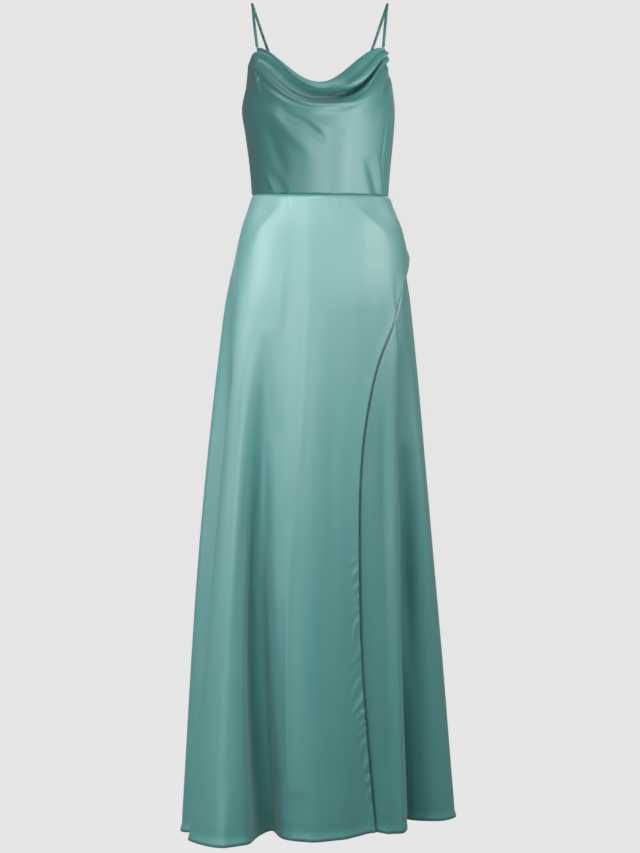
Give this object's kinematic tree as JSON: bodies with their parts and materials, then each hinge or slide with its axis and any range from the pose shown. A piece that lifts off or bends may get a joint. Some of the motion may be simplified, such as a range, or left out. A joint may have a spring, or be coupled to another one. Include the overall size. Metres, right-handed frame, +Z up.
{
  "type": "evening gown",
  "caption": "Floor-length satin evening gown: draped cowl neck, thin shoulder straps, fitted waist seam and a flared skirt with a wrapped front, hollow as if worn.",
  "frame": {"origin": "midway between the undersides of the two strap tops, where the wearer's shoulders carry the gown", "axes": "+Z up along the figure, -Y out of the gown's front, +X to the wearer's left, which is the viewer's right"},
  "size_m": [0.503, 0.3811, 1.5064],
  "materials": {
    "bodice_satin": "teal green satin with a soft directional sheen",
    "skirt_satin": "teal green satin with a soft directional sheen",
    "strap_satin": "teal green satin turned into a narrow round strap",
    "zip_tape": "matt woven tape, dyed to match",
    "coated_metal": "lacquered metal, dyed to match"
  },
  "bodies": {
    "garment": {"bodice_front": "bodice_satin", "bodice_back_right": "bodice_satin", "bodice_back_left": "bodice_satin", "skirt_front_wrap": "skirt_satin", "skirt_underlap": "skirt_satin", "skirt_back_left": "skirt_satin", "skirt_back_right": "skirt_satin", "strap_right": "strap_satin", "strap_left": "strap_satin", "zip_tape": "zip_tape", "zip_slider": "coated_metal"},
    "pull": {"zip_pull": "coated_metal"}
  },
  "joints": [
    {"name": "pull_swing", "type": "hinge", "parent": "garment", "child": "pull", "pos_m": [0, 0.09846, -0.1715], "axis": [1, 0, 0], "range_deg": [0, 150]}
  ]
}
